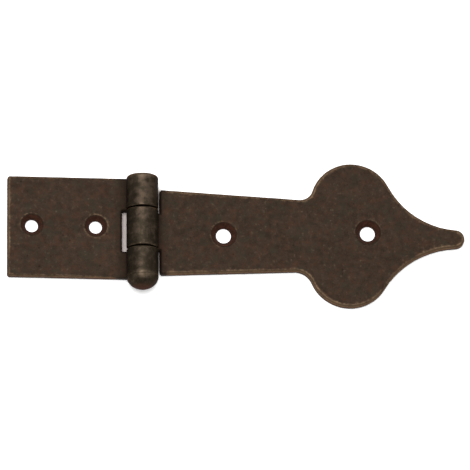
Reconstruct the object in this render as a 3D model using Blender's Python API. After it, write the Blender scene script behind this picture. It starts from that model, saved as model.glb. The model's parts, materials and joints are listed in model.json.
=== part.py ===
"""Rolled strap hinge with a spade tip: a short frame leaf, a long strap leaf and one pin.

Units are metres. The origin lies on the back of the frame leaf, midway between its two screw holes.
+X runs along the strap to its tip, +Y along the pin to its plain end, and +Z out of the mounting
plane, towards the barrel. Both leaves lie flat on z = 0, as on a closed door.
"""
import math

import bmesh
import bpy
from mathutils import Vector

MM = 0.001

# Sheet and barrel
SHEET = 2.5 * MM                     # thickness of both leaves
BORE_RADIUS = 2.5 * MM               # inside of the rolled knuckles
BARREL_RADIUS = BORE_RADIUS + SHEET
ROLL_PAST = math.radians(26)         # how far the roll runs past its half-way side, down to its seam
GAP = 0.3 * MM                       # clearance between pieces that touch on the real hinge
BACK = -BARREL_RADIUS                # height of a leaf's back and front, from the pin axis
FRONT = -BORE_RADIUS

# Pin
PIN_X = 24.3 * MM                    # pin axis, from the origin
PIN_Z = BARREL_RADIUS                # the barrel's back is level with the leaves' backs
PIN_RADIUS = BORE_RADIUS - GAP
PIN_EDGE = 0.5 * MM                  # broken edge of the plain end
HEAD_RADIUS = BARREL_RADIUS
HEAD_HEIGHT = 3.9 * MM
HEAD_RIM = 0.3 * MM                  # straight rim under the dome

# Frame leaf
LEAF_LENGTH = 42.0 * MM              # pin axis to the free edge
LEAF_WIDTH = 32.4 * MM               # along the pin, and the length of the barrel
LEAF_CORNER = 0.8 * MM
LEAF_HOLE_SPACING = 20.0 * MM
LEAF_HOLE_Y = 0.5 * MM
LEAF_HOLE_RADIUS = 2.0 * MM
LEAF_SINK_RADIUS = 3.55 * MM

# Middle knuckle, on the strap
KNUCKLE_LOW = -7.1 * MM
KNUCKLE_HIGH = 5.2 * MM
KNUCKLE_GAP = 0.4 * MM               # between neighbouring knuckles, along the pin
SLOT_GAP = 1.1 * MM                  # between the middle knuckle and the frame leaf's slot
SLOT_CORNER = 0.5 * MM               # inside corners of that slot
NOTCH_GAP = 0.7 * MM                 # between the outer knuckles and the strap

# Strap, measured from the pin axis and from the strap's own centre line
STRAP_Y = -0.93 * MM                 # centre line of the strap
STRAP_ROOT_HALF = 13.8 * MM          # half width at the notch
STRAP_WAIST_HALF = 11.7 * MM         # half width where the spade begins
STRAP_WAIST_X = 48.0 * MM
STRAP_CORNER = 0.6 * MM
POINT_RADIUS = 2.9 * MM
STRAP_LENGTH = 101.7 * MM            # pin axis to the end of the point
STRAP_HOLES = ((25.85 * MM, -0.4 * MM), (71.2 * MM, 1.35 * MM))
STRAP_HOLE_RADIUS = 2.35 * MM
STRAP_SINK_RADIUS = 4.05 * MM

# The spade is cut by eye, so its two sides differ a little. For each: the centre of its lobe, the
# radius of the hollow before the lobe, and the radius of the hollow after it.
LOBE_RADIUS = 12.95 * MM
UPPER_SIDE = ((66.2 * MM, 10.7 * MM), 4.4 * MM, 25.6 * MM)
LOWER_SIDE = ((65.3 * MM, 10.0 * MM), 5.6 * MM, 28.5 * MM)

# Facets
TURN_STEPS = 48                      # round a full circle
ROLL_STEPS = 44                      # round a knuckle
ARC_STEP = math.radians(6)           # between points of an outline's arc
CORNER_STEPS = 3

WELD = 1e-6                          # points nearer than this are one point


def clear_scene():
    for old in list(bpy.data.objects):
        bpy.data.objects.remove(old, do_unlink=True)


def make_material(name, colour, roughness, metallic):
    material = bpy.data.materials.new(name)
    material.use_nodes = True
    shader = material.node_tree.nodes["Principled BSDF"]
    shader.inputs["Base Color"].default_value = (*colour, 1.0)
    shader.inputs["Roughness"].default_value = roughness
    shader.inputs["Metallic"].default_value = metallic
    return material


def object_from(name, bm, material=None):
    """Closes a bmesh into a named object, with its faces pointing out."""
    bmesh.ops.remove_doubles(bm, verts=bm.verts, dist=WELD)
    bmesh.ops.recalc_face_normals(bm, faces=bm.faces)
    mesh = bpy.data.meshes.new(name)
    bm.to_mesh(mesh)
    bm.free()
    if material:
        mesh.materials.append(material)
    piece = bpy.data.objects.new(name, mesh)
    bpy.context.scene.collection.objects.link(piece)
    return piece


def prism(name, outline, sweep, material=None):
    """Extrudes a closed outline of points along a vector."""
    bm = bmesh.new()
    face = bm.faces.new([bm.verts.new(point) for point in outline])
    swept = bmesh.ops.extrude_face_region(bm, geom=[face], use_keep_orig=True)
    moved = [item for item in swept["geom"] if isinstance(item, bmesh.types.BMVert)]
    bmesh.ops.translate(bm, verts=moved, vec=sweep)
    return object_from(name, bm, material)


def turned(name, profile, material=None):
    """Spins a profile of (radius, height) points, which starts and ends on the axis, about Z."""
    bm = bmesh.new()
    points = [bm.verts.new((radius, 0.0, height)) for radius, height in profile]
    edges = [bm.edges.new(pair) for pair in zip(points, points[1:])]
    bmesh.ops.spin(bm, geom=points + edges, axis=(0, 0, 1), cent=(0, 0, 0),
                   angle=math.tau, steps=TURN_STEPS, use_merge=True)
    return object_from(name, bm, material)


def cut(piece, cutter, operation):
    """Cuts a piece by a hidden guide shape, which then moves with it."""
    cutter.parent = piece
    cutter.hide_render = True
    cutter.display_type = "WIRE"
    modifier = piece.modifiers.new(cutter.name, "BOOLEAN")
    modifier.operation = operation
    modifier.solver = "EXACT"
    modifier.object = cutter


def arc(centre, radius, start, end):
    """Points along an arc, from one angle to another, in even steps of about ARC_STEP."""
    count = max(2, math.ceil(abs(end - start) / ARC_STEP))
    angles = [start + (end - start) * step / count for step in range(count + 1)]
    return [Vector((centre.x + radius * math.cos(a), centre.y + radius * math.sin(a))) for a in angles]


def angle_to(centre, point):
    return math.atan2(point.y - centre.y, point.x - centre.x)


def rolled_profile(length):
    """Section of a leaf whose sheet runs from x = -length to the pin axis and rolls over the pin.

    The pin axis is (0, 0). The sheet leaves its plane under the pin, goes round the far side and over
    the top, and its square end stops just above the sheet's own front: the seam of the knuckle.
    """
    start = -math.pi / 2
    end = math.pi + ROLL_PAST
    angles = [start + (end - start) * step / ROLL_STEPS for step in range(ROLL_STEPS + 1)]
    outside = [(BARREL_RADIUS * math.cos(a), BARREL_RADIUS * math.sin(a)) for a in angles]
    inside = [(BORE_RADIUS * math.cos(a), BORE_RADIUS * math.sin(a)) for a in reversed(angles)]
    return [(-length, BACK)] + outside + inside + [(-length, FRONT)]


def rounded(corners, radius):
    """Rounds the convex corners of an outline that runs anticlockwise; others stay sharp."""
    outline = []
    for index, corner in enumerate(corners):
        before = (corners[index - 1] - corner).normalized()
        after = (corners[(index + 1) % len(corners)] - corner).normalized()
        if before.cross(after) > 0.0:
            outline.append(corner)
            continue
        reach = radius / math.tan(before.angle(after) / 2)
        first = corner + before * reach
        last = corner + after * reach
        centre = corner + (before + after).normalized() * radius / math.sin(before.angle(after) / 2)
        for step in range(CORNER_STEPS + 1):
            spoke = first.lerp(last, step / CORNER_STEPS) - centre
            outline.append(centre + spoke.normalized() * radius)
    return outline


def leaf_outline():
    """The frame leaf from above: a rectangle with a slot for the middle knuckle."""
    half = LEAF_WIDTH / 2
    barrel_side = BARREL_RADIUS + GAP
    slot = -(BARREL_RADIUS + SLOT_GAP)
    low = KNUCKLE_LOW - KNUCKLE_GAP
    high = KNUCKLE_HIGH + KNUCKLE_GAP
    free_edge = rounded([Vector((-LEAF_LENGTH, half)), Vector((-LEAF_LENGTH, -half)),
                         Vector((0.0, -half)), Vector((0.0, half))], LEAF_CORNER)
    rounded_end = [point for point in free_edge if point.x < slot]
    centre_x = slot + SLOT_CORNER
    low_corner = arc(Vector((centre_x, low + SLOT_CORNER)), SLOT_CORNER, -math.pi / 2, -math.pi)
    high_corner = arc(Vector((centre_x, high - SLOT_CORNER)), SLOT_CORNER, math.pi, math.pi / 2)
    lower_arm = [Vector((barrel_side, -half)), Vector((barrel_side, low))]
    upper_arm = [Vector((barrel_side, high)), Vector((barrel_side, half))]
    return rounded_end + lower_arm + low_corner + high_corner + upper_arm


def spade_side(lobe_centre, neck_radius, flank_radius):
    """One long side of the strap, from its root to the end of the point, above the centre line.

    Every arc meets the next one, or the straight taper, without a corner.
    """
    root = Vector((BARREL_RADIUS + NOTCH_GAP, STRAP_ROOT_HALF))
    waist = Vector((STRAP_WAIST_X, STRAP_WAIST_HALF))
    lobe = Vector(lobe_centre)
    along = (waist - root).normalized()
    outward = Vector((-along.y, along.x))

    # The neck hollow rolls along the taper until it touches the lobe.
    offset = root + outward * neck_radius - lobe
    reach = LOBE_RADIUS + neck_radius
    slide = -along.dot(offset)
    slide -= math.sqrt(slide ** 2 - offset.length_squared + reach ** 2)
    neck = root + along * slide + outward * neck_radius

    # The flank hollow touches both the lobe and the round end of the point.
    point = Vector((STRAP_LENGTH - POINT_RADIUS, 0.0))
    to_lobe = LOBE_RADIUS + flank_radius
    to_point = POINT_RADIUS + flank_radius
    span = point - lobe
    along_span = (to_lobe ** 2 - to_point ** 2 + span.length_squared) / (2 * span.length)
    across_span = math.sqrt(to_lobe ** 2 - along_span ** 2)
    unit = span.normalized()
    flank = lobe + unit * along_span + Vector((-unit.y, unit.x)) * across_span

    neck_start = -math.pi / 2 + math.atan2(along.y, along.x)
    neck_end = angle_to(neck, lobe)
    lobe_start = angle_to(lobe, neck)
    lobe_end = angle_to(lobe, flank)
    flank_start = angle_to(flank, lobe)
    flank_end = angle_to(flank, point)
    point_start = angle_to(point, flank)
    return ([root + along * STRAP_CORNER]
            + arc(neck, neck_radius, neck_start, neck_end)
            + arc(lobe, LOBE_RADIUS, lobe_start, lobe_end)[1:]
            + arc(flank, flank_radius, flank_start, flank_end)[1:]
            + arc(point, POINT_RADIUS, point_start, 0.0)[1:])


def strap_outline():
    """The strap leaf from above: the tongue of the middle knuckle, the tapered strap and the spade."""
    upper = spade_side(*UPPER_SIDE)
    lower = [Vector((p.x, -p.y)) for p in spade_side(*LOWER_SIDE)]
    shift = Vector((0.0, STRAP_Y))
    root_x = BARREL_RADIUS + NOTCH_GAP
    barrel_side = -(BARREL_RADIUS + GAP)
    corner = STRAP_ROOT_HALF - STRAP_CORNER
    tongue = [Vector((root_x, STRAP_Y + corner)), Vector((root_x, KNUCKLE_HIGH)),
              Vector((barrel_side, KNUCKLE_HIGH)), Vector((barrel_side, KNUCKLE_LOW)),
              Vector((root_x, KNUCKLE_LOW)), Vector((root_x, STRAP_Y - corner))]
    around = [p + shift for p in lower] + [p + shift for p in reversed(upper[:-1])]
    return tongue + around


def rolled_leaf(name, length, side, outline, material):
    """A leaf as it is made: a sheet rolled over the pin at one edge, trimmed to its outline.

    side is -1 for a leaf that lies on the -X side of the pin and +1 for one on the +X side. The
    leaf's own origin is on the pin axis, about which it turns.
    """
    reach = LEAF_WIDTH               # the sheet before trimming is wider than any outline
    section = [Vector((-side * x, -reach, z)) for x, z in rolled_profile(length)]
    leaf = prism(name, section, Vector((0.0, 2 * reach, 0.0)), material)
    leaf.location = (PIN_X, 0.0, PIN_Z)
    trim = prism(name + "_outline", [Vector((p.x, p.y, -reach)) for p in outline],
                 Vector((0.0, 0.0, 2 * reach)))
    cut(leaf, trim, "INTERSECT")
    return leaf


def screw_hole(leaf, name, x, y, radius, sink_radius):
    """A clear hole with a 90 degree countersink in the front of a leaf."""
    over = 1.0 * MM                  # the tool's run past both faces
    depth = sink_radius - radius
    profile = [(0.0, BACK - over), (radius, BACK - over), (radius, FRONT - depth),
               (sink_radius + over, FRONT + over), (0.0, FRONT + over)]
    drill = turned(name, profile)
    drill.location = (x, y, 0.0)
    cut(leaf, drill, "DIFFERENCE")


def make_frame_leaf(material):
    # The section is longer than the leaf: the outline gives the free edge.
    leaf = rolled_leaf("frame_leaf", LEAF_LENGTH + SHEET, -1, leaf_outline(), material)
    middle = -PIN_X
    for name, side in (("frame_hole_outer", -1), ("frame_hole_inner", 1)):
        x = middle + side * LEAF_HOLE_SPACING / 2
        screw_hole(leaf, name, x, LEAF_HOLE_Y, LEAF_HOLE_RADIUS, LEAF_SINK_RADIUS)
    return leaf


def make_strap_leaf(material):
    leaf = rolled_leaf("strap_leaf", STRAP_LENGTH + SHEET, 1, strap_outline(), material)
    for index, (x, y) in enumerate(STRAP_HOLES):
        screw_hole(leaf, f"strap_hole_{index}", x, STRAP_Y + y, STRAP_HOLE_RADIUS, STRAP_SINK_RADIUS)
    return leaf


def make_pin(material):
    """The pin, turned about its own Z, which points along -Y: from the plain end to the head."""
    half = LEAF_WIDTH / 2
    under_head = half + GAP
    rim = under_head + HEAD_RIM
    dome = HEAD_HEIGHT - HEAD_RIM
    steps = TURN_STEPS // 4
    quarter = [math.pi / 2 * step / steps for step in range(steps + 1)]
    profile = [(0.0, -half), (PIN_RADIUS - PIN_EDGE, -half), (PIN_RADIUS, -half + PIN_EDGE),
               (PIN_RADIUS, under_head), (HEAD_RADIUS, under_head)]
    profile += [(HEAD_RADIUS * math.cos(a), rim + dome * math.sin(a)) for a in quarter[:-1]]
    profile.append((0.0, rim + dome))
    pin = turned("hinge_pin", profile, material)
    pin.location = (PIN_X, 0.0, PIN_Z)
    pin.rotation_euler = (math.radians(90), 0.0, 0.0)
    pin.data.shade_smooth()
    pin.data.set_sharp_from_angle(angle=math.radians(40))
    return pin


def main():
    clear_scene()
    plate = make_material("aged_steel_plate", (0.055, 0.037, 0.025), 0.6, 0.6)
    barrel = make_material("aged_steel_pin", (0.06, 0.045, 0.032), 0.5, 0.7)
    make_frame_leaf(plate)
    make_strap_leaf(plate)
    make_pin(barrel)


main()
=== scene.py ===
# %% [markdown]
# # A worn strap hinge
#
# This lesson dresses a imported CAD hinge: a short frame leaf, a long strap with a spade tip, and the pin
# that joins them. On the bench, such a hinge is cut from sheet, rolled at one edge, drilled, and then
# tumbled with stones, rust-browned and waxed. So no edge is sharp, no face is quite flat, and the high
# spots shine through. The CAD parts give every size. Here they get their soft edges and their patina.

# %% Load the frame
import json
import math

import bmesh
import bpy
from mathutils import Euler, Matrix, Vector


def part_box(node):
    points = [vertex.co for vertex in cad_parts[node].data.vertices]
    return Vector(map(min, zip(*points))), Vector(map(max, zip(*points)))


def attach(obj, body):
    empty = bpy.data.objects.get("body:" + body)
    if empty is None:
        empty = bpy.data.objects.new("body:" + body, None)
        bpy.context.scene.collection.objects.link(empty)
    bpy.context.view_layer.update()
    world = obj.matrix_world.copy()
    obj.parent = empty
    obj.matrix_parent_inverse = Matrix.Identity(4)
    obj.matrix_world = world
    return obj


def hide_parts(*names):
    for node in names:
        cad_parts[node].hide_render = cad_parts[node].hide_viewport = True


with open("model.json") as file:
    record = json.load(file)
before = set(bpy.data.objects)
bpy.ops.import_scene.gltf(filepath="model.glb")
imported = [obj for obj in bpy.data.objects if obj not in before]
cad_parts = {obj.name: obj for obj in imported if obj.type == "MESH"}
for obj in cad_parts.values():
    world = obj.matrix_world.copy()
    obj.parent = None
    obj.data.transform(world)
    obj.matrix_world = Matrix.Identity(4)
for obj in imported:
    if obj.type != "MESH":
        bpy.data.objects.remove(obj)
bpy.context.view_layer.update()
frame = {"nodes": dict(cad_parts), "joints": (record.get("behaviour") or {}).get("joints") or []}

# %% [markdown]
# ## Sizes that the pieces share
#
# The places come from the frame. The pin axis is the joint's own point, and the barrel's radius is the
# height of the frame leaf above it, because its knuckles are the tallest part of it. The sheet's
# thickness, the screw holes and the pin's clearance, which no box can tell, are repeated here.

# %% Sizes from the frame
MM = 0.001

swing = frame["joints"][0]
pin_axis = Vector(swing["pos_m"])
leaf_low, leaf_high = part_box("frame_leaf")
strap_low, strap_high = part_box("strap_leaf")
pin_low, pin_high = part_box("hinge_pin")

SHEET = 2.5 * MM
PIN_GAP = 0.3 * MM                   # clearance between the pin and the knuckles
HAIR = 0.01 * MM                     # points nearer than this lie in one plane
barrel_radius = leaf_high.z - pin_axis.z
screw_holes = [                      # x, y and radius of each countersink
    (-10.0 * MM, 0.5 * MM, 3.55 * MM),
    (10.0 * MM, 0.5 * MM, 3.55 * MM),
    (50.15 * MM, -1.33 * MM, 4.05 * MM),
    (95.5 * MM, 0.42 * MM, 4.05 * MM),
]
print(f"pin axis x {pin_axis.x / MM:.1f} mm, barrel radius {barrel_radius / MM:.1f} mm")

# %% [markdown]
# ## Selecting as by hand
#
# An operator acts on whatever is selected, and loading the frame leaves its nodes selected. So each
# step starts by selecting one piece only, and then picks the edges or faces that it needs by a rule.

# %% Helpers for selecting
HOLE_MARGIN = 0.2 * MM               # counted as part of a hole, all round its countersink


def only(piece):
    """Makes a piece the only selected one."""
    bpy.ops.object.select_all(action="DESELECT")
    piece.select_set(True)
    bpy.context.view_layer.objects.active = piece


def pick_edges(piece, rule):
    """In edit mode, selects just the edges that a rule accepts, and says how many there are."""
    bpy.ops.mesh.select_mode(type="EDGE")
    bpy.ops.mesh.select_all(action="DESELECT")
    bm = bmesh.from_edit_mesh(piece.data)
    for edge in bm.edges:
        edge.select_set(rule(edge))
    bm.select_flush_mode()
    bmesh.update_edit_mesh(piece.data)
    return sum(edge.select for edge in bm.edges)


def in_hole(point):
    """Whether a point lies in or on one of the four screw holes."""
    return any(math.hypot(point.x - x, point.y - y) < sink + HOLE_MARGIN for x, y, sink in screw_holes)


print("helpers: only, pick_edges, in_hole")

# %% [markdown]
# ## Softening a leaf
#
# The leaf's shape is already right in the CAD, so its mesh is copied and not modelled again. The copy is
# loose triangles: merging doubles joins them, and a limited dissolve turns the flat faces back into
# single polygons, so that only real edges are left. Tumbling rounds every outward edge, but not all
# alike: the free end of the upper knuckle gets the most, the rims less, and the back, the screw holes
# and the end under the pin's head hardly any, because the stones don't reach them. So each edge is
# given a weight, and one Bevel modifier rounds them all by their weights. Its clamp is off, because the
# shortest edge in the slot's corners would hold back every rim. The new faces get the second material
# index for a moment, so that a later step can find them.

# %% Rounding the edges
END_ROUND = 0.9 * MM                 # radius left on the free end of the upper knuckle, the largest
RIM_ROUND = 0.8 * MM                 # on the front rims of the leaves
KNUCKLE_ROUND = 0.4 * MM             # on the other ends of the knuckles
BACK_ROUND = 0.25 * MM               # on the edges that lie on the table
HOLE_ROUND = 0.3 * MM                # round the screw holes
UNDER_HEAD_ROUND = 0.08 * MM         # where the pin's head covers the lower knuckle
RIM_SEGMENTS = 4                     # faces across a rounded edge
SHARP = math.radians(35)             # an edge that turns by less is left as it is
FLAT = math.radians(0.6)             # faces that turn by less become one polygon
WELD = 0.002 * MM
FACET_SAG = 0.1 * MM                 # a point this near the barrel's radius counts as on it
RIM_INDEX = 1


def is_sharp(edge):
    """Whether an outward edge needs rounding; the outline's own corners are round already."""
    upright = abs(edge.verts[0].co.z - edge.verts[1].co.z) > 0.9 * SHEET
    in_sheet = all(vert.co.z < SHEET + HAIR for vert in edge.verts)
    if len(edge.link_faces) != 2 or (upright and in_sheet):
        return False
    return edge.is_convex and edge.calc_face_angle() > SHARP


def tumbled_radius(edge):
    """The radius that tumbling leaves on a sharp edge."""
    ends = [vert.co for vert in edge.verts]
    reach = [math.hypot(p.x - pin_axis.x, p.z - pin_axis.z) for p in ends]
    on_knuckle = max(reach) < barrel_radius + FACET_SAG
    on_outside = min(reach) > barrel_radius - FACET_SAG
    if all(in_hole(p) for p in ends):
        return HOLE_ROUND
    if on_knuckle and all(p.y < leaf_low.y + HAIR for p in ends):
        return UNDER_HEAD_ROUND
    if on_knuckle and on_outside and all(p.y > leaf_high.y - HAIR for p in ends):
        return END_ROUND
    if on_knuckle:
        return KNUCKLE_ROUND
    if all(p.z < HAIR for p in ends):
        return BACK_ROUND
    return RIM_ROUND


def joined_copy(node, name):
    """A copy of a CAD node's mesh as a new piece, with its triangles joined into flat polygons."""
    piece = bpy.data.objects.new(name, frame["nodes"][node].data.copy())
    bpy.context.scene.collection.objects.link(piece)
    only(piece)
    bpy.ops.mesh.customdata_custom_splitnormals_clear()
    bpy.ops.object.mode_set(mode="EDIT")
    bpy.ops.mesh.select_all(action="SELECT")
    bpy.ops.mesh.remove_doubles(threshold=WELD)
    bpy.ops.mesh.dissolve_limited(angle_limit=FLAT)
    bpy.ops.object.mode_set(mode="OBJECT")
    print(f"{name}: {len(piece.data.polygons)} polygons")
    return piece


def tumble(piece):
    """Rounds a piece's sharp edges, each by its own radius."""
    only(piece)
    bpy.ops.object.mode_set(mode="EDIT")
    bm = bmesh.from_edit_mesh(piece.data)
    weight = bm.edges.layers.float.new("bevel_weight_edge")
    sharp = [edge for edge in bm.edges if is_sharp(edge)]
    for edge in sharp:
        edge[weight] = tumbled_radius(edge) / END_ROUND
    bmesh.update_edit_mesh(piece.data)
    bpy.ops.object.mode_set(mode="OBJECT")

    # The bevel can only give its faces an index that the piece has a slot for.
    piece.data.materials.clear()
    for _ in range(RIM_INDEX + 1):
        piece.data.materials.append(None)
    bevel = piece.modifiers.new("tumbled", "BEVEL")
    bevel.limit_method = "WEIGHT"
    bevel.width = END_ROUND
    bevel.segments = RIM_SEGMENTS
    bevel.material = RIM_INDEX
    bevel.use_clamp_overlap = False
    bevel.loop_slide = False
    bpy.ops.object.modifier_apply(modifier=bevel.name)
    rims = sum(face.material_index == RIM_INDEX for face in piece.data.polygons)
    print(f"{piece.name}: {len(sharp)} edges rounded, {rims} faces on rims")


frame_plate = joined_copy("frame_leaf", "frame_plate")
strap_plate = joined_copy("strap_leaf", "strap_plate")
tumble(frame_plate)
tumble(strap_plate)

# %% [markdown]
# ## Slicing the faces for hammer work
#
# A large flat polygon has no points to move. Loop cuts would need a window, so the mesh is bisected by
# evenly spaced planes along both sides of the leaf. The outline stays exactly as it was, and each flat
# face becomes a fine net.

# %% Slicing
NET = 0.5 * MM                       # distance between the planes


def slice_up(piece):
    """Cuts a piece by planes across X and then across Y, NET apart."""
    only(piece)
    corners = [Vector(corner) for corner in piece.bound_box]
    bpy.ops.object.mode_set(mode="EDIT")
    for normal in (Vector((1, 0, 0)), Vector((0, 1, 0))):
        low = min(corner.dot(normal) for corner in corners)
        high = max(corner.dot(normal) for corner in corners)
        count = round((high - low) / NET)
        for step in range(1, count):
            bpy.ops.mesh.select_all(action="SELECT")
            place = normal * (low + (high - low) * step / count)
            bpy.ops.mesh.bisect(plane_co=place, plane_no=normal)
    bpy.ops.object.mode_set(mode="OBJECT")
    print(f"{piece.name}: {len(piece.data.polygons)} faces after slicing")


slice_up(frame_plate)
slice_up(strap_plate)

# %% [markdown]
# ## Marking where the metal is rubbed
#
# Hands and stones rub the rims bright, and a little of the face and of the side wall beside them. The
# bevel's faces still carry their own material index, so each point can be told how much of it lies on
# a rim. A few rounds of averaging with the neighbours let the mark fade. It is stored as an attribute,
# which the material reads and which moves with the mesh.

# %% Marking the rims
FADE_ROUNDS = 5
FADE_KEEP = 0.9                      # how much of its own mark a point keeps in each round
WALL_MARK = 0.05                     # how much the side walls of the sheet are rubbed
HOLE_MARK = 0.35                     # and the upper edge of a countersink
HOLE_EDGE = 0.4 * MM                 # how deep that upper edge reaches
SHELTER = 7.5 * MM                   # nothing rubs the slot and the notches this near the pin axis


def rubbed_face(face):
    """How much a face is rubbed: fully on a rim, partly on a side wall, not at all elsewhere."""
    middle = face.calc_center_median()
    on_rim = face.material_index == RIM_INDEX
    if in_hole(middle):
        return HOLE_MARK if on_rim and middle.z > SHEET - HOLE_EDGE else 0.0
    if abs(middle.x - pin_axis.x) < SHELTER and middle.z < SHEET + HAIR:
        return 0.0
    if on_rim:
        return 1.0
    on_wall = abs(face.normal.z) < 0.3 and middle.z < SHEET
    return WALL_MARK if on_wall else 0.0


def mark_rubbed(piece):
    """Stores how much each point is rubbed, from 0 to 1, as the attribute "rubbed"."""
    bm = bmesh.new()
    bm.from_mesh(piece.data)
    layer = bm.verts.layers.float.new("rubbed")
    for vert in bm.verts:
        vert[layer] = sum(rubbed_face(face) for face in vert.link_faces) / len(vert.link_faces)
    for _ in range(FADE_ROUNDS):
        beside = [sum(e.other_vert(v)[layer] for e in v.link_edges) / len(v.link_edges) for v in bm.verts]
        for vert, around in zip(bm.verts, beside):
            vert[layer] = max(vert[layer] * FADE_KEEP, around)
    for face in bm.faces:
        face.material_index = 0
    count = sum(vert[layer] > 0.5 for vert in bm.verts)
    bm.to_mesh(piece.data)
    bm.free()
    print(f"{piece.name}: {count} of {len(piece.data.vertices)} points on rims")


mark_rubbed(frame_plate)
mark_rubbed(strap_plate)

# %% [markdown]
# ## The pin
#
# The pin is a plain rod with a domed head. A cylinder lies along the pin axis. Its lower cap is grown
# outwards into the flat underside of the head, and then extruded ring by ring over a quarter of an
# ellipse, each ring a little further out and a little smaller. The last ring closes to a pole.

# %% The pin's rod
PIN_SIDES = 72
PLAIN_END_ROUND = 0.5 * MM           # broken edge of the upper end
HEAD_GAP = 0.01 * MM                 # the head sits this far below the lowest knuckle

head_radius = pin_axis.z - pin_low.z
shank_radius = head_radius - SHEET - PIN_GAP
head_top = leaf_low.y - HEAD_GAP


def make_rod(name):
    """A rod along the pin axis, from the head to the plain upper end."""
    bpy.ops.object.select_all(action="DESELECT")
    bpy.ops.mesh.primitive_cylinder_add(
        vertices=PIN_SIDES, radius=shank_radius, depth=pin_high.y - head_top,
        rotation=(math.radians(90), 0.0, 0.0),
        location=(pin_axis.x, (pin_high.y + head_top) / 2, pin_axis.z))
    rod = bpy.context.object
    rod.name = name
    bpy.ops.object.transform_apply(location=True, rotation=True, scale=True)
    bpy.ops.object.mode_set(mode="EDIT")
    pick_edges(rod, lambda edge: all(vert.co.y > pin_high.y - HAIR for vert in edge.verts))
    bpy.ops.mesh.bevel(offset=PLAIN_END_ROUND, segments=RIM_SEGMENTS, profile=0.5, affect="EDGES")
    bpy.ops.object.mode_set(mode="OBJECT")
    print(f"{name}: rod {2 * shank_radius / MM:.1f} mm across")
    return rod


domed_pin = make_rod("domed_pin")

# %% The pin's head
HEAD_RINGS = 14
HEAD_EDGE = 0.1 * MM                 # its broken upper edge


def grow_cap(step, scale):
    """Extrudes the selected cap along Y and scales it about the pin axis."""
    bpy.ops.mesh.extrude_region_move(TRANSFORM_OT_translate={"value": (0.0, step, 0.0)})
    bpy.ops.transform.resize(
        value=(scale, 1.0, scale), center_override=Vector((pin_axis.x, head_top, pin_axis.z)))


def raise_head(pin):
    """Grows the rod's lower cap into a domed head."""
    only(pin)
    bpy.ops.object.mode_set(mode="EDIT")
    bpy.ops.mesh.select_mode(type="FACE")
    bpy.ops.mesh.select_all(action="DESELECT")
    bm = bmesh.from_edit_mesh(pin.data)
    for face in bm.faces:
        face.select_set(face.normal.y < -0.9 and face.calc_center_median().y < head_top + HAIR)
    bmesh.update_edit_mesh(pin.data)
    grow_cap(0.0, (head_radius - HEAD_EDGE) / shank_radius)
    grow_cap(-HEAD_EDGE, head_radius / (head_radius - HEAD_EDGE))

    # The dome: each ring's height follows the sine of its angle, and its width the cosine.
    height = head_top - HEAD_EDGE - pin_low.y
    angles = [math.pi / 2 * ring / HEAD_RINGS for ring in range(HEAD_RINGS)]
    for before, angle in zip(angles, angles[1:]):
        grow_cap(-height * (math.sin(angle) - math.sin(before)), math.cos(angle) / math.cos(before))
    grow_cap(-height * (1 - math.sin(angles[-1])), 0.5)
    bpy.ops.mesh.merge(type="CENTER")
    bpy.ops.mesh.select_all(action="SELECT")
    bpy.ops.mesh.normals_make_consistent(inside=False)
    bpy.ops.object.mode_set(mode="OBJECT")
    print(f"{pin.name}: {len(pin.data.polygons)} faces, head {2 * head_radius / MM:.1f} mm across")


raise_head(domed_pin)

# %% [markdown]
# ## Hammer marks and pits as real shape
#
# Two Displace modifiers move the points along their normals. Soft clouds give the shallow dents that
# make a face wavy, with a middle level of a half, so that they balance. A cell texture whose ramp is
# dark only at the cells' centres gives the pits. Its middle level is 1, so that pits only ever sink.

# %% Denting
DENT_DEPTH = 0.10 * MM
DENT_SIZE = 5.0 * MM
PIT_DEPTH = 0.13 * MM
PIT_SPACING = 3.2 * MM
PIT_FLOOR = 0.02                     # the texture's value at a pit's flat floor, and at its brim
PIT_BRIM = 0.16
SMOOTH_BELOW = math.radians(40)      # edges that turn by less are shaded smooth


def dent_texture():
    texture = bpy.data.textures.new("dents", "CLOUDS")
    texture.noise_scale = DENT_SIZE
    texture.noise_depth = 3
    return texture


def pit_texture():
    texture = bpy.data.textures.new("pits", "VORONOI")
    texture.noise_scale = PIT_SPACING
    texture.use_color_ramp = True
    texture.color_ramp.elements[0].position = PIT_FLOOR
    texture.color_ramp.elements[0].color = (0.0, 0.0, 0.0, 1.0)
    texture.color_ramp.elements[1].position = PIT_BRIM
    texture.color_ramp.elements[1].color = (1.0, 1.0, 1.0, 1.0)
    return texture


def dent(piece, layers):
    """Moves a piece's surface by each (texture, middle level, depth), and shades it smooth."""
    only(piece)
    for texture, middle, depth in layers:
        modifier = piece.modifiers.new(texture.name, "DISPLACE")
        modifier.texture = texture
        modifier.texture_coords = "LOCAL"
        modifier.mid_level = middle
        modifier.strength = depth
        bpy.ops.object.modifier_apply(modifier=modifier.name)
    bpy.ops.object.shade_smooth_by_angle(angle=SMOOTH_BELOW)
    low, high = piece.bound_box[0], piece.bound_box[6]
    print(piece.name, "spans", [round((b - a) / MM, 2) for a, b in zip(low, high)], "mm")


dents = (dent_texture(), 0.5, DENT_DEPTH)
pits = (pit_texture(), 1.0, PIT_DEPTH)
dent(frame_plate, [dents, pits])
dent(strap_plate, [dents, pits])
dent(domed_pin, [dents])

# %% [markdown]
# ## Shader maths as plain expressions
#
# A patina is many masks laid over each other, and a mask is easiest to read as a formula. The class
# below wraps a socket, so that + - * add the Math nodes that they stand for. One method on the
# material's own builder makes every other kind of node from its type, settings and inputs.

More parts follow.
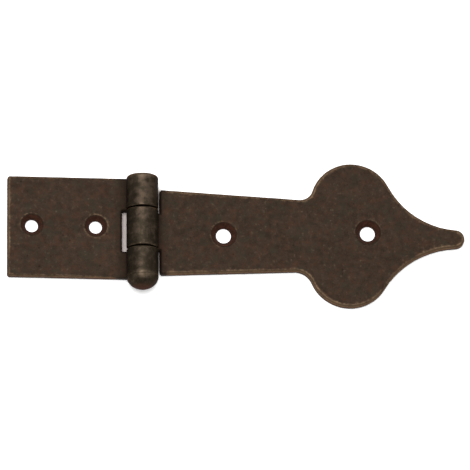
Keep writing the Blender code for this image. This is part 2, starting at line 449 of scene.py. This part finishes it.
# %% A number in a shader
class Value:
    """A socket that holds a number. Arithmetic on it adds Math nodes to its material."""

    def __init__(self, builder, socket):
        self.builder = builder
        self.socket = socket

    def maths(self, operation, first, second=0.0):
        inputs = {0: first, 1: second}
        node = self.builder.node("ShaderNodeMath", {"operation": operation}, inputs)
        return Value(self.builder, node.outputs[0])

    def __add__(self, other):
        return self.maths("ADD", self, other)

    def __sub__(self, other):
        return self.maths("SUBTRACT", self, other)

    def __rsub__(self, other):
        return self.maths("SUBTRACT", other, self)

    def __mul__(self, other):
        return self.maths("MULTIPLY", self, other)

    __radd__ = __add__
    __rmul__ = __mul__

    def step(self, low, high):
        """0 below low, 1 above high, and a smooth rise between them; low may be the larger one."""
        node = self.builder.node("ShaderNodeMapRange", {"interpolation_type": "SMOOTHSTEP", "clamp": True},
                                 {"Value": self, "From Min": low, "From Max": high})
        return Value(self.builder, node.outputs["Result"])

    def size(self):
        """The number without its sign."""
        return self.maths("ABSOLUTE", self)

    def limit(self):
        """The number, held between 0 and 1."""
        node = self.builder.node("ShaderNodeClamp", {}, {"Value": self})
        return Value(self.builder, node.outputs[0])

    def most(self, other):
        """The larger of two numbers."""
        return self.maths("MAXIMUM", self, other)


class Builder:
    """Builds one material's nodes."""

    def __init__(self, name):
        self.material = bpy.data.materials.new(name)
        self.material.use_nodes = True
        self.tree = self.material.node_tree
        self.shader = self.tree.nodes["Principled BSDF"]
        self.place = self.node("ShaderNodeTexCoord").outputs["Object"]

    def node(self, kind, settings=None, inputs=None):
        """Any node, from its type, its settings, and the values or links of its sockets."""
        node = self.tree.nodes.new(kind)
        for setting, value in (settings or {}).items():
            setattr(node, setting, value)
        for key, value in (inputs or {}).items():
            self.feed(node.inputs[key], value)
        return node

    def feed(self, socket, value):
        """Sets a socket, or links it to another one."""
        source = value.socket if isinstance(value, Value) else value
        if isinstance(source, bpy.types.NodeSocket):
            self.tree.links.new(source, socket)
        else:
            socket.default_value = source

    def moved(self, shift):
        """The place on the piece, shifted, so that two patterns of one kind don't match."""
        return self.node("ShaderNodeVectorMath", {"operation": "ADD"}, {0: self.place, 1: shift}).outputs[0]

    def noise(self, size, detail=4.0, roughness=0.55, shift=(0.0, 0.0, 0.0)):
        """Cloudy noise whose blots are about size across."""
        node = self.node("ShaderNodeTexNoise", {}, {
            "Vector": self.moved(shift), "Scale": 1.0 / size, "Detail": detail, "Roughness": roughness})
        return Value(self, node.outputs["Fac"])

    def spots(self, spacing, radius, share, shift=(0.0, 0.0, 0.0)):
        """Soft round spots in a share of the cells of a cell pattern."""
        cells = self.node("ShaderNodeTexVoronoi", {}, {"Vector": self.moved(shift), "Scale": 1.0 / spacing})
        chance = self.node("ShaderNodeSeparateColor", {}, {"Color": cells.outputs["Color"]})
        near = Value(self, cells.outputs["Distance"]).step(radius / spacing, 0.3 * radius / spacing)
        picked = Value(self, chance.outputs["Red"]).step(1.0 - share, 1.05 - share)
        return near * picked

    def mix(self, mask, colour, other):
        """One colour where the mask is 0 and the other where it is 1."""
        node = self.node("ShaderNodeMix", {"data_type": "RGBA"}, {0: mask, 6: colour, 7: other})
        return node.outputs[2]


print("builder ready")

# %% [markdown]
# ## The patina
#
# Rust-browned steel is a thin dark brown skin over grey metal, sealed with wax. Close up it is a
# mottle of earth brown, rust red and greenish grey, with ragged pale flecks where the skin is thin and
# dark pits where it is deep. The rims are rubbed to a light tan. The countersinks, which nothing
# touches, keep a dark red rust. The rolled barrel is the smoothest and darkest part, olive black, and
# its crown is painted lighter, partly as polished wear and partly as a painted highlight.
#
# The finish is laid on as a painter would, one layer over another. Each layer is a colour and a mask
# that says where it goes, and a material keeps count of its colour, roughness and metal so far.

# %% A finish in layers
def tint(red, green, blue):
    """A colour given as the eye sees it, 0 to 255, turned into linear light."""
    channels = [c / 255 for c in (red, green, blue)]
    return (*[c / 12.92 if c <= 0.04045 else ((c + 0.055) / 1.055) ** 2.4 for c in channels], 1.0)


EARTH = tint(39, 31, 25)
BARE_ROUGH = 0.58
BARE_METAL = 0.45


class Finish(Builder):
    """A material laid on in layers, which knows where a point lies on the hinge."""

    def __init__(self, name):
        super().__init__(name)
        place = self.node("ShaderNodeSeparateXYZ", {}, {0: self.place})
        self.x = Value(self, place.outputs["X"])
        self.y = Value(self, place.outputs["Y"])
        self.z = Value(self, place.outputs["Z"])
        self.blots = self.noise(1.9 * MM, detail=5.0, roughness=0.68, shift=(0.1, 0.0, 0.0))
        self.grain = self.noise(0.5 * MM, detail=3.0, roughness=0.7)
        self.ragged = self.noise(1.1 * MM, detail=5.0, roughness=0.7, shift=(0.4, 0.0, 0.3))
        self.skin = EARTH
        self.rough = BARE_ROUGH + (self.grain - 0.5) * 0.25
        self.metal = BARE_METAL

    def lay(self, mask, colour):
        """Lays a colour over the skin where the mask is 1."""
        self.skin = self.mix(mask, self.skin, colour)


print("earth brown in linear light:", [round(channel, 4) for channel in EARTH[:3]])

# %% [markdown]
# ### The mottled skin
#
# Browning takes unevenly, because the acid bites where the steel is softer. Three clouds of different
# sizes are added up and squeezed into a mask between two browns, and two more clouds bring the red
# rust and the greenish grey. The finest cloud counts most, so that the mottle looks like a speckle.

# %% Mottle
UMBER = tint(53, 42, 34)
RED_RUST = tint(64, 41, 31)
GREEN_GREY = tint(42, 41, 33)


def lay_mottle(steel):
    broad = steel.noise(9.0 * MM, detail=3.0)
    red = steel.noise(2.8 * MM, detail=6.0, roughness=0.7, shift=(0.3, 0.2, 0.0))
    green = steel.noise(2.6 * MM, detail=6.0, roughness=0.65, shift=(0.0, 0.5, 0.1))
    steel.lay((broad * 0.15 + steel.blots * 0.4 + steel.grain * 0.45).step(0.40, 0.60), UMBER)
    steel.lay(red.step(0.46, 0.66) * 0.42, RED_RUST)
    steel.lay(green.step(0.48, 0.66) * 0.5, GREEN_GREY)


print("mottle: umber, red rust, green grey over earth brown")

# %% [markdown]
# ### Flecks and pits
#
# Where the skin is thin, the metal shines through as small pale flecks. They come in drifts, so a fine
# cloud is held back by a coarser one. Pits are round and rare: soft spots in about one cell in five of
# a cell pattern, broken up by the grain.

# %% Flecks and pits
FLECK = tint(82, 69, 57)
PIT = tint(26, 19, 14)
SPOT_SPACING = 1.9 * MM
SPOT_RADIUS = 0.4 * MM
SPOT_SHARE = 0.22


def lay_flecks_and_pits(steel):
    thin = steel.noise(0.9 * MM, detail=3.0, roughness=0.6, shift=(0.2, 0.1, 0.0))
    flecks = thin.step(0.57, 0.72) * steel.blots.step(0.38, 0.58)
    spots = steel.spots(SPOT_SPACING, SPOT_RADIUS, SPOT_SHARE, (0.0, 0.3, 0.2))
    steel.pitted = spots * steel.grain.step(0.35, 0.55)
    steel.lay(flecks * 0.42, FLECK)
    steel.lay(steel.pitted * 0.45, PIT)
    steel.rough += steel.pitted * 0.12
    steel.metal += flecks * 0.2


print(f"pits: {SPOT_SHARE:.0%} of the cells, {SPOT_SPACING / MM:.1f} mm apart")

# %% [markdown]
# ### Rubbed rims and painted shade
#
# The "rubbed" attribute alone would paint an even line. Two clouds are added to it before it is
# squeezed into a mask, so that the tan edge is ragged, and comes and goes along the rim. Rubbed metal
# is also smoother and more metallic. Where the sheet meets the barrel, and low on the side walls next
# to the table, the skin is painted darker: this is painted shade.

# %% Rubbed rims and painted shade
RUBBED = tint(104, 84, 65)
# painted shade: the dark brown laid beside the barrel and low on the side walls by the table
PAINTED_SHADE_BROWN = tint(30, 22, 17)
BARREL_SHADE_REACH = (9.0 * MM, 5.0 * MM)   # from the pin axis: where the painted shade begins, and where it is full
WALL_SHADE_RISE = (1.8 * MM, 0.6 * MM)    # from the table: the same on the side walls


def lay_rubbed_rims(steel):
    attribute = steel.node("ShaderNodeAttribute", {"attribute_name": "rubbed"})
    mark = Value(steel, attribute.outputs["Fac"])
    stretches = steel.noise(9.0 * MM, detail=2.0, shift=(0.0, 0.6, 0.3))
    steel.rubbed = (mark * 1.35 + steel.ragged * 1.7 + stretches * 1.1 - 1.8).step(0.0, 0.95)
    steel.lay(steel.rubbed * 0.8, RUBBED)
    steel.rough -= steel.rubbed * 0.14
    steel.metal += steel.rubbed * 0.3


def lay_painted_shade(steel):
    # painted shade where the sheet meets the barrel, and low on the side walls next to the table
    shade_by_barrel = (steel.x - pin_axis.x).size().step(*BARREL_SHADE_REACH) * (0.4 + steel.blots * 0.5)
    shade_on_walls = steel.z.step(*WALL_SHADE_RISE) * 0.75
    steel.lay(shade_by_barrel.most(shade_on_walls), PAINTED_SHADE_BROWN)


# the painted shade beside the barrel begins this far from the pin axis
print(f"grime begins {BARREL_SHADE_REACH[0] / MM:.0f} mm from the pin axis")

# %% [markdown]
# ### The barrel
#
# The barrel is rolled, so its skin is smoother and darker than that of the sheet, and everything that
# stands above the sheet gets its colours. Its crown is painted lighter, more so towards the upper end:
# blotches of real wear, and a painted highlight where the crown faces the light. Two rings on the crown
# get a painted highlight: the free end, which is partly rubbed as well, and the collar where the pin's
# head meets the lowest knuckle.

# %% Barrel
BARREL_DARK = tint(41, 36, 28)
# worn metal, and the crown's painted highlight
BARREL_WORN_AND_HIGHLIGHT = tint(72, 61, 51)
# rubbed rims, and the painted highlights at the free end and the collar
BARREL_RUBBED_AND_HIGHLIGHT = tint(93, 80, 66)
barrel_top = 2 * barrel_radius


def lay_barrel(steel):
    rolled = steel.z.step(SHEET + 0.1 * MM, SHEET + 1.2 * MM)
    crown = steel.z.step(barrel_top - 2.2 * MM, barrel_top - 0.3 * MM)
    # 0 at the lowest knuckle, 1 at the free end; the crown's painted highlight grows with it
    toward_upper_end = steel.y.step(leaf_low.y, leaf_high.y)
    blotch = steel.noise(2.0 * MM, detail=6.0, roughness=0.72, shift=(0.7, 0.0, 0.0))
    patches = steel.noise(4.5 * MM, detail=3.0, shift=(0.5, 0.1, 0.0))
    # blotches of wear, raised on the crown: partly wear, partly a painted highlight where the crown faces
    # the light
    worn_and_crown_highlight = (blotch * 2.2 + patches * 1.3 + crown * (0.1 + toward_upper_end * 0.35) - 1.52).step(0.2, 0.9)

    # painted highlights: the collar above the dome, and the free end's crown, which is partly rubbed too
    above_dome = steel.y.step(leaf_low.y - 2.4 * MM, leaf_low.y - 1.2 * MM)
    collar = steel.y.step(leaf_low.y + 1.4 * MM, leaf_low.y) * above_dome
    free_end = steel.y.step(leaf_high.y - 2.2 * MM, leaf_high.y - 0.5 * MM) * crown
    highlight_rings = (collar * 0.65 + free_end) * crown * blotch.step(0.3, 0.6)

    cover = steel.mix(worn_and_crown_highlight, BARREL_DARK, BARREL_WORN_AND_HIGHLIGHT)
    cover = steel.mix(highlight_rings, cover, BARREL_RUBBED_AND_HIGHLIGHT)
    cover = steel.mix(steel.rubbed * 0.8, cover, BARREL_RUBBED_AND_HIGHLIGHT)
    steel.lay(rolled * 0.92, cover)
    steel.rough += (blotch - 0.5) * 0.3 - rolled * 0.08
    steel.metal += rolled * 0.25


print(f"barrel colours from {SHEET / MM:.1f} mm up to {barrel_top / MM:.1f} mm")

# %% [markdown]
# ### Countersinks and the dome's foot
#
# Nothing rubs inside a countersink, so it keeps a dry, dark red rust with fresher patches. Its mask is
# a distance from the hole's middle, measured level, and stops above the back. The foot of the pin's
# dome, which hands don't reach, reddens as well.

# %% Countersinks and dome
DEEP_RUST = tint(48, 28, 21)
FRESH_RUST = tint(78, 46, 34)


def lay_countersinks(steel, holes):
    level = steel.node("ShaderNodeCombineXYZ", {}, {0: steel.x, 1: steel.y}).outputs[0]
    rust = steel.mix(steel.ragged.step(0.4, 0.65) * 0.6, DEEP_RUST, FRESH_RUST)
    for hole_x, hole_y, sink in holes:
        middle = (hole_x, hole_y, 0.0)
        away = steel.node("ShaderNodeVectorMath", {"operation": "DISTANCE"}, {0: level, 1: middle})
        inside = Value(steel, away.outputs["Value"]).step(sink - 0.05 * MM, sink - 0.5 * MM)
        inside = inside * steel.z.step(0.1 * MM, 0.4 * MM)
        steel.lay(inside * (0.85 - steel.rubbed * 0.6), rust)
        steel.rough += inside * 0.15
        steel.metal -= inside * 0.3


def lay_dome_foot(steel):
    foot = steel.y.step(pin_low.y + 1.5 * MM, pin_low.y + 0.2 * MM)
    steel.lay(foot * 0.7, RED_RUST)


print("countersinks:", len(screw_holes))

# %% [markdown]
# ### All layers together
#
# The layers go on in the order in which they came about. A bump adds the relief that is too fine for
# the mesh. Wax keeps the gloss low, and its reflections are warm, because the skin under it is brown.

# %% Patina
BUMP_STRENGTH = 0.55
BUMP_DEPTH = 0.09 * MM
WAX_GLOSS = 0.12
WAXED_EDGE = tint(165, 140, 115)     # what the skin reflects at a glancing angle


def wire_up(steel):
    """Feeds the finished layers into the shader."""
    relief = steel.blots * 0.5 + steel.grain * 0.35 - steel.pitted * 0.6
    bump = steel.node("ShaderNodeBump", {}, {
        "Strength": BUMP_STRENGTH, "Distance": BUMP_DEPTH, "Height": relief})
    steel.feed(steel.shader.inputs["Base Color"], steel.skin)
    steel.feed(steel.shader.inputs["Roughness"], steel.rough.limit())
    steel.feed(steel.shader.inputs["Metallic"], steel.metal.limit())
    steel.feed(steel.shader.inputs["Normal"], bump.outputs["Normal"])
    steel.shader.inputs["Specular IOR Level"].default_value = WAX_GLOSS
    steel.shader.inputs["Specular Tint"].default_value = WAXED_EDGE


def patina(name, holes=(), domed=False):
    """The browned steel of one piece, with the countersinks or the domed head that it has."""
    steel = Finish(name)
    lay_mottle(steel)
    lay_flecks_and_pits(steel)
    lay_rubbed_rims(steel)
    # painted shade beside the barrel and low on the side walls
    lay_painted_shade(steel)
    # the barrel's colours, with a painted highlight on its crown
    lay_barrel(steel)
    lay_countersinks(steel, holes)
    if domed:
        lay_dome_foot(steel)
    wire_up(steel)
    print(f"{name}: {len(steel.tree.nodes)} nodes")
    return steel.material


frame_holes = [hole for hole in screw_holes if hole[0] < pin_axis.x]
strap_holes = [hole for hole in screw_holes if hole[0] > pin_axis.x]
for piece, material in (
        (frame_plate, patina("browned_frame_leaf", frame_holes)),
        (strap_plate, patina("browned_strap", strap_holes)),
        (domed_pin, patina("browned_pin", domed=True))):
    piece.data.materials.clear()
    piece.data.materials.append(material)

# %% [markdown]
# ## Handing the pieces to their bodies
#
# Each new piece stands for one CAD node and rides on that node's body, so the strap swings about the
# pin and the pin stays in the frame leaf.

# %% Bodies, nodes and slots
for piece, body, node, slot in (
        (frame_plate, "frame_side", "frame_leaf", "aged_steel_plate"),
        (strap_plate, "door_side", "strap_leaf", "aged_steel_plate"),
        (domed_pin, "frame_side", "hinge_pin", "aged_steel_pin")):
    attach(piece, body)
    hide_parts(node)
    print(piece.name, "rides on", body)

# %% [markdown]
# ## Floor
#
# The hinge lies on a plain white table, which is lit a little from inside, so that shadows stay pale.
# Only the strip of table right beside the barrel, which shows through the slots, is a dull grey that
# doesn't glow, because hardly any light reaches it between the leaves.

# %% Floor
TABLE_SIZE = 4.0
TABLE_DROP = 0.05 * MM               # keeps the table clear of the leaves' backs
TABLE_WHITE = (0.9, 0.9, 0.9, 1.0)
TABLE_GLOW = 0.4
WHITE = (1.0, 1.0, 1.0, 1.0)
BLACK = (0.0, 0.0, 0.0, 1.0)
SLOT_SHADE = tint(192, 182, 178)
STRIP_REACH = (barrel_radius + 2.0 * MM, barrel_radius + 1.5 * MM)   # across, from the pin axis
STRIP_HALF = (14.5 * MM, 12.5 * MM)                                  # along, from its middle

bpy.ops.object.select_all(action="DESELECT")
bpy.ops.mesh.primitive_plane_add(size=TABLE_SIZE, location=(pin_axis.x, 0.0, -TABLE_DROP))
floor = bpy.context.object
floor.name = "floor"
table = Builder("white_table")
spot = table.node("ShaderNodeSeparateXYZ", {}, {0: table.place})
across = Value(table, spot.outputs["X"]).size()
along = Value(table, spot.outputs["Y"]).size()
strip = across.step(*STRIP_REACH) * along.step(*STRIP_HALF)
table.feed(table.shader.inputs["Base Color"], table.mix(strip, TABLE_WHITE, SLOT_SHADE))
table.feed(table.shader.inputs["Emission Color"], table.mix(strip, WHITE, BLACK))
table.shader.inputs["Emission Strength"].default_value = TABLE_GLOW
table.shader.inputs["Roughness"].default_value = 0.9
floor.data.materials.append(table.material)
print("floor at", round(floor.location.z / MM, 2), "mm")

# %% [markdown]
# ## Light
#
# One broad soft light hangs above, a little to the left, so that the barrel gets a soft band along its
# top. A weak one fills in from the right, and a white surrounding lifts the shadows.

# %% Lights
SURROUND = 0.35
middle = Vector(((leaf_low.x + strap_high.x) / 2, 0.0, 0.0))


def soft_light(name, offset, size, watts):
    """A square area light at an offset from the hinge's middle, pointing at it."""
    data = bpy.data.lights.new(name, "AREA")
    data.size = size
    data.energy = watts
    light = bpy.data.objects.new(name, data)
    light.location = middle + Vector(offset)
    light.rotation_euler = (-Vector(offset)).to_track_quat("-Z", "Y").to_euler()
    bpy.context.scene.collection.objects.link(light)


soft_light("overhead", offset=(-0.2, 0.15, 1.1), size=0.8, watts=16.0)
soft_light("side_fill", offset=(0.7, 0.5, 0.8), size=0.6, watts=2.0)

world = bpy.data.worlds.new("white_surround")
world.use_nodes = True
background = world.node_tree.nodes["Background"]
background.inputs["Color"].default_value = WHITE
background.inputs["Strength"].default_value = SURROUND
bpy.context.scene.world = world
bpy.context.scene.view_settings.view_transform = "Standard"

# %% [markdown]
# ## Camera
#
# The hinge is seen from above and a little from its lower left, through a long lens from far away, so
# that nothing looks foreshortened. The camera is turned about its own line of sight, which brings the
# long strap level in the view.

# %% Camera
AIM = Vector((53.7, -1.1, 1.33)) * MM
DISTANCE = 2.5                       # metres
AZIMUTH = math.radians(-20.66)
ELEVATION = math.radians(72.93)
ROLL = math.radians(21.16)
VIEW_WIDTH = 146.9 * MM              # width of the view, at the hinge

away = Vector((math.sin(AZIMUTH) * math.cos(ELEVATION),
               -math.cos(AZIMUTH) * math.cos(ELEVATION),
               math.sin(ELEVATION)))
camera_data = bpy.data.cameras.new("camera")
camera_data.lens = camera_data.sensor_width * DISTANCE / VIEW_WIDTH
camera_data.clip_end = 4 * DISTANCE
camera = bpy.data.objects.new("camera", camera_data)
camera.location = AIM + away * DISTANCE
facing = away.to_track_quat("Z", "Y")
camera.rotation_euler = (facing.to_matrix() @ Euler((0.0, 0.0, ROLL)).to_matrix()).to_euler()
bpy.context.scene.collection.objects.link(camera)
bpy.context.scene.camera = camera
print(f"lens {camera_data.lens:.0f} mm at {DISTANCE} m")
